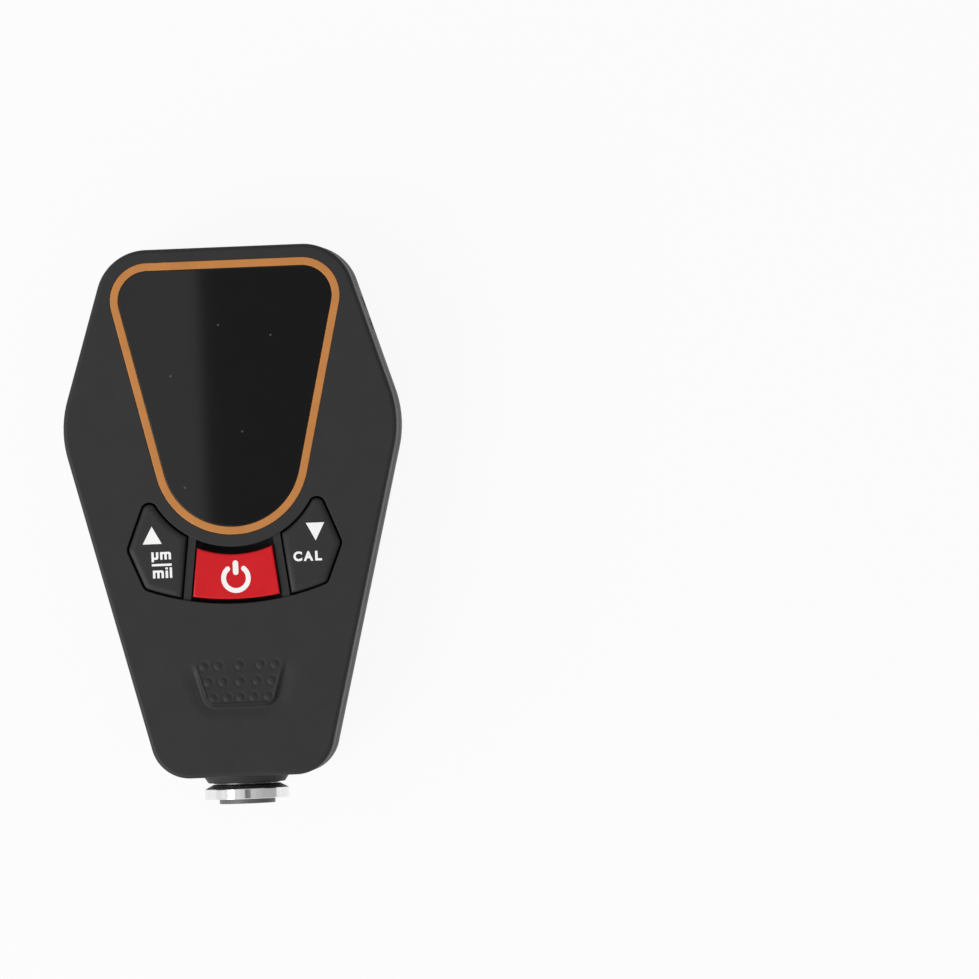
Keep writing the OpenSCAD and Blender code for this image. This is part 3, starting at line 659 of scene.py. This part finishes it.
def plate(name, node, *outlines):
    """A sign made of outlines."""
    curve = sign_curve(name)
    for outline in outlines:
        add_outline(curve, outline)
    return sign_piece(curve, node)


# Power sign: a ring that is open at its top, with a bar in the gap

POWER_X = 0.04
POWER_Y = -8.08
POWER_R = 2.74
POWER_IN_R = 1.84
POWER_MIDDLE_R = (POWER_R + POWER_IN_R) / 2
POWER_END_R = (POWER_R - POWER_IN_R) / 2
POWER_GAP = 40
POWER_START = 90 + POWER_GAP
POWER_STOP = 450 - POWER_GAP
BAR_HALF = 0.51
BAR_TOP = -5.32
BAR_LOW = -6.98


def power_end(turn, start):
    """The round end of the ring at a turn, from a start that is measured from there."""
    x = POWER_X + POWER_MIDDLE_R * math.cos(math.radians(turn))
    y = POWER_Y + POWER_MIDDLE_R * math.sin(math.radians(turn))
    return arc(x, y, POWER_END_R, turn + start, turn + start + 180)


def power_ring():
    """Outline of the ring."""
    outside = arc(POWER_X, POWER_Y, POWER_R, POWER_START, POWER_STOP)
    inside = arc(POWER_X, POWER_Y, POWER_IN_R, POWER_STOP, POWER_START)
    return outside + power_end(POWER_STOP, 0) + inside + power_end(POWER_START, 180)


def power_bar():
    """Outline of the bar."""
    return arc(POWER_X, BAR_TOP, BAR_HALF, 0, 180) + arc(POWER_X, BAR_LOW, BAR_HALF, 180, 360)


plate("power_sign", "power_key", power_ring(), power_bar())


# Unit signs: an up arrow, and the two units over and under a line

UNIT_ARROW = ((-16.95, -1.22), (-13.42, -1.22), (-15.18, 2.03))
UNIT_BAR = {"left": -15.42, "low": -5.32, "right": -11.74, "high": -4.9}
MICRON_LOW = -4.13
MICRON_HEIGHT = 1.4
MICRON_TAIL = 0.42
MU_LEFT = -15.42
MU_WIDTH = 1.28
METRE_LEFT = -13.82
MIL_LOW = -7.55
MIL_HEIGHT = 1.44
MIL_LEFT = -15.27
M_WIDTH = 2.02
I_LEFT = -12.93
I_RIGHT = -12.47
I_HIGH = -6.18
DOT_LOW = -5.96
L_LEFT = -12.15
L_RIGHT = -11.71
L_HIGH = -5.6

letter_n = arched(MU_LEFT, MICRON_LOW, MU_WIDTH, MICRON_HEIGHT, 1, tail=MICRON_TAIL)
letter_mu = upside_down(letter_n, MICRON_LOW + MICRON_HEIGHT / 2)
plate("unit_arrow", "unit_key", UNIT_ARROW)
plate("unit_bar", "unit_key", bar(**UNIT_BAR))
plate("unit_letters_micron", "unit_key",
      letter_mu,
      arched(METRE_LEFT, MICRON_LOW, M_WIDTH, MICRON_HEIGHT, 2))
plate("unit_letters_mil", "unit_key",
      arched(MIL_LEFT, MIL_LOW, M_WIDTH, MIL_HEIGHT, 2),
      bar(I_LEFT, MIL_LOW, I_RIGHT, I_HIGH),
      bar(I_LEFT, DOT_LOW, I_RIGHT, L_HIGH),
      bar(L_LEFT, MIL_LOW, L_RIGHT, L_HIGH))


# Calibration signs: a down arrow over three letters, each with its width and its middle

CALIBRATE_ARROW = ((13.34, 1.6), (15.05, -1.7), (16.74, 1.6))
CALIBRATE_LETTERS = (("C", 1.62, 11.62), ("A", 1.78, 13.58), ("L", 1.25, 15.45))
CALIBRATE_Y = -4.52
CALIBRATE_HEIGHT = 1.8

plate("calibrate_arrow", "calibrate_key", CALIBRATE_ARROW)
for letter, width, middle in CALIBRATE_LETTERS:
    name = "calibrate_letter_" + letter
    bold_letter(name, letter, width, CALIBRATE_HEIGHT, "calibrate_key", (middle, CALIBRATE_Y))


# Camera, in the place from which the photograph was taken

PHOTO_PX = 979
PX_PER_MM = 5.42
SENSOR_WIDTH = 36.0
DISTANCE = 2500
AIM_X = 47.48
AIM_Y = 4.76
LEAN_X = math.radians(2.17)
LEAN_Y = math.radians(-0.05)
TURN = math.radians(-2.28)
camera_data = bpy.data.cameras.new("camera")
camera_data.sensor_width = SENSOR_WIDTH
camera_data.lens = SENSOR_WIDTH * PX_PER_MM * DISTANCE / PHOTO_PX
camera = bpy.data.objects.new("camera", camera_data)
aim = Vector((AIM_X * MM, AIM_Y * MM, face_z))
backward = Vector((math.tan(LEAN_X), math.tan(LEAN_Y), 1)).normalized()
turned_up = Vector((-math.sin(TURN), math.cos(TURN), 0))
upward = (turned_up - backward * turned_up.dot(backward)).normalized()
camera.location = aim + backward * DISTANCE * MM
camera.rotation_euler = Matrix((upward.cross(backward), upward, backward)).transposed().to_euler()
bpy.context.scene.collection.objects.link(camera)
bpy.context.scene.camera = camera


# Studio

FLOOR_HALF = 3.0
FLOOR_GAP = 0.02 * MM
FLOOR_COLOUR = (0.9, 0.9, 0.9, 1)
FLOOR_ROUGH = 0.9
FLOOR_GLOW = 0.95
GLOW_COLOUR = (0.98, 0.975, 0.98, 1)
DOME_LEFT = 0.85
DOME_RIGHT = 0.45
DOME_REACH = 0.7
RIG_DIM = 0.18
PANEL_NEAR = 0.72
PANEL_FAR = 0.68
PANEL_EDGE = -4.85 * MM
PANEL_END = -20 * MM
PANEL_BLUR = 1 * MM
RIG_SHIFT = math.radians(6)
RIG_RIM = math.radians(10.5)
RIG_CORE = math.radians(8.5)
BRIGHT_SIDE = Vector((-0.8, -0.6, 0))
SOFTBOX_PLACE = Vector((-0.8, -0.5, 0.8))
SOFTBOX_SIZE = 0.8
SOFTBOX_POWER = 12.0


def floor_material():
    """White floor that keeps soft shadows."""
    material, tree, shader = new_material("floor_white")
    shader.inputs["Base Color"].default_value = FLOOR_COLOUR
    shader.inputs["Roughness"].default_value = FLOOR_ROUGH
    glow = tree.nodes.new("ShaderNodeEmission")
    glow.inputs["Color"].default_value = GLOW_COLOUR
    path = tree.nodes.new("ShaderNodeLightPath")
    seen = maths(tree, "MAXIMUM", path.outputs["Is Camera Ray"], path.outputs["Is Glossy Ray"])
    seen = maths(tree, "MAXIMUM", seen, path.outputs["Is Transmission Ray"])
    mix = tree.nodes.new("ShaderNodeMixShader")
    tree.links.new(maths(tree, "MULTIPLY", seen, FLOOR_GLOW), mix.inputs["Fac"])
    tree.links.new(shader.outputs["BSDF"], mix.inputs[1])
    tree.links.new(glow.outputs["Emission"], mix.inputs[2])
    tree.links.new(mix.outputs["Shader"], tree.nodes["Material Output"].inputs["Surface"])
    return material


def make_floor():
    """A square floor that clears the object's flat rear by a hair."""
    mesh = bpy.data.meshes.new("floor")
    signs = ((-1, -1), (1, -1), (1, 1), (-1, 1))
    corners = [(x * FLOOR_HALF, y * FLOOR_HALF, rear_z - FLOOR_GAP) for x, y in signs]
    mesh.from_pydata(corners, [], [(0, 1, 2, 3)])
    mesh.materials.append(floor_material())
    floor = bpy.data.objects.new("floor", mesh)
    bpy.context.scene.collection.objects.link(floor)


def along(tree, place, direction):
    """How far a place lies in a direction."""
    node = tree.nodes.new("ShaderNodeVectorMath")
    node.operation = "DOT_PRODUCT"
    node.inputs[1].default_value = direction
    tree.links.new(place, node.inputs[0])
    return node.outputs["Value"]


def mirrored_at(x):
    """Slope across of the ray that the lens sends to the camera from a place across."""
    return (x - camera.location.x) / (camera.location.z - face_z)


def between(tree, first, second, share):
    """A value that goes from one to another with a share."""
    step = maths(tree, "SUBTRACT", second, first)
    return maths(tree, "ADD", first, maths(tree, "MULTIPLY", share, step))


def studio_world():
    """A dome that is brightest on the left, with a dim rig overhead and a lit panel that ends beside it."""
    world = bpy.data.worlds.new("studio")
    world.use_nodes = True
    tree = world.node_tree
    background = tree.nodes["Background"]
    background.inputs["Color"].default_value = (1, 1, 1, 1)
    place = tree.nodes.new("ShaderNodeTexCoord").outputs["Generated"]
    parts = tree.nodes.new("ShaderNodeSeparateXYZ")
    tree.links.new(place, parts.inputs["Vector"])
    dome = ranged(tree, along(tree, place, BRIGHT_SIDE), DOME_RIGHT, DOME_LEFT,
                  start=-DOME_REACH, end=DOME_REACH)

    across = maths(tree, "DIVIDE", parts.outputs["X"], parts.outputs["Z"])
    panel = ranged(tree, across, PANEL_FAR, PANEL_NEAR,
                   start=mirrored_at(PANEL_END), end=mirrored_at(PANEL_EDGE))
    is_panel = ranged(tree, across, 1.0, 0.0,
                      start=mirrored_at(PANEL_EDGE - PANEL_BLUR), end=mirrored_at(PANEL_EDGE + PANEL_BLUR))
    rig = between(tree, RIG_DIM, panel, is_panel)

    rig_direction = Vector((mirrored_at(0) + math.tan(RIG_SHIFT), -backward.y, 1)).normalized()
    is_rig = ranged(tree, along(tree, place, rig_direction), 0.0, 1.0,
                    start=math.cos(RIG_RIM), end=math.cos(RIG_CORE))
    tree.links.new(between(tree, dome, rig, is_rig), background.inputs["Strength"])
    bpy.context.scene.world = world


def softbox(name, place, size, power):
    """A square lamp that looks at the origin."""
    data = bpy.data.lights.new(name, "AREA")
    data.size = size
    data.energy = power
    lamp = bpy.data.objects.new(name, data)
    lamp.location = place
    lamp.rotation_euler = (-place).to_track_quat("-Z", "Y").to_euler()
    bpy.context.scene.collection.objects.link(lamp)


make_floor()
studio_world()
softbox("softbox_left", SOFTBOX_PLACE, SOFTBOX_SIZE, SOFTBOX_POWER)

bpy.context.scene.view_settings.view_transform = "Standard"
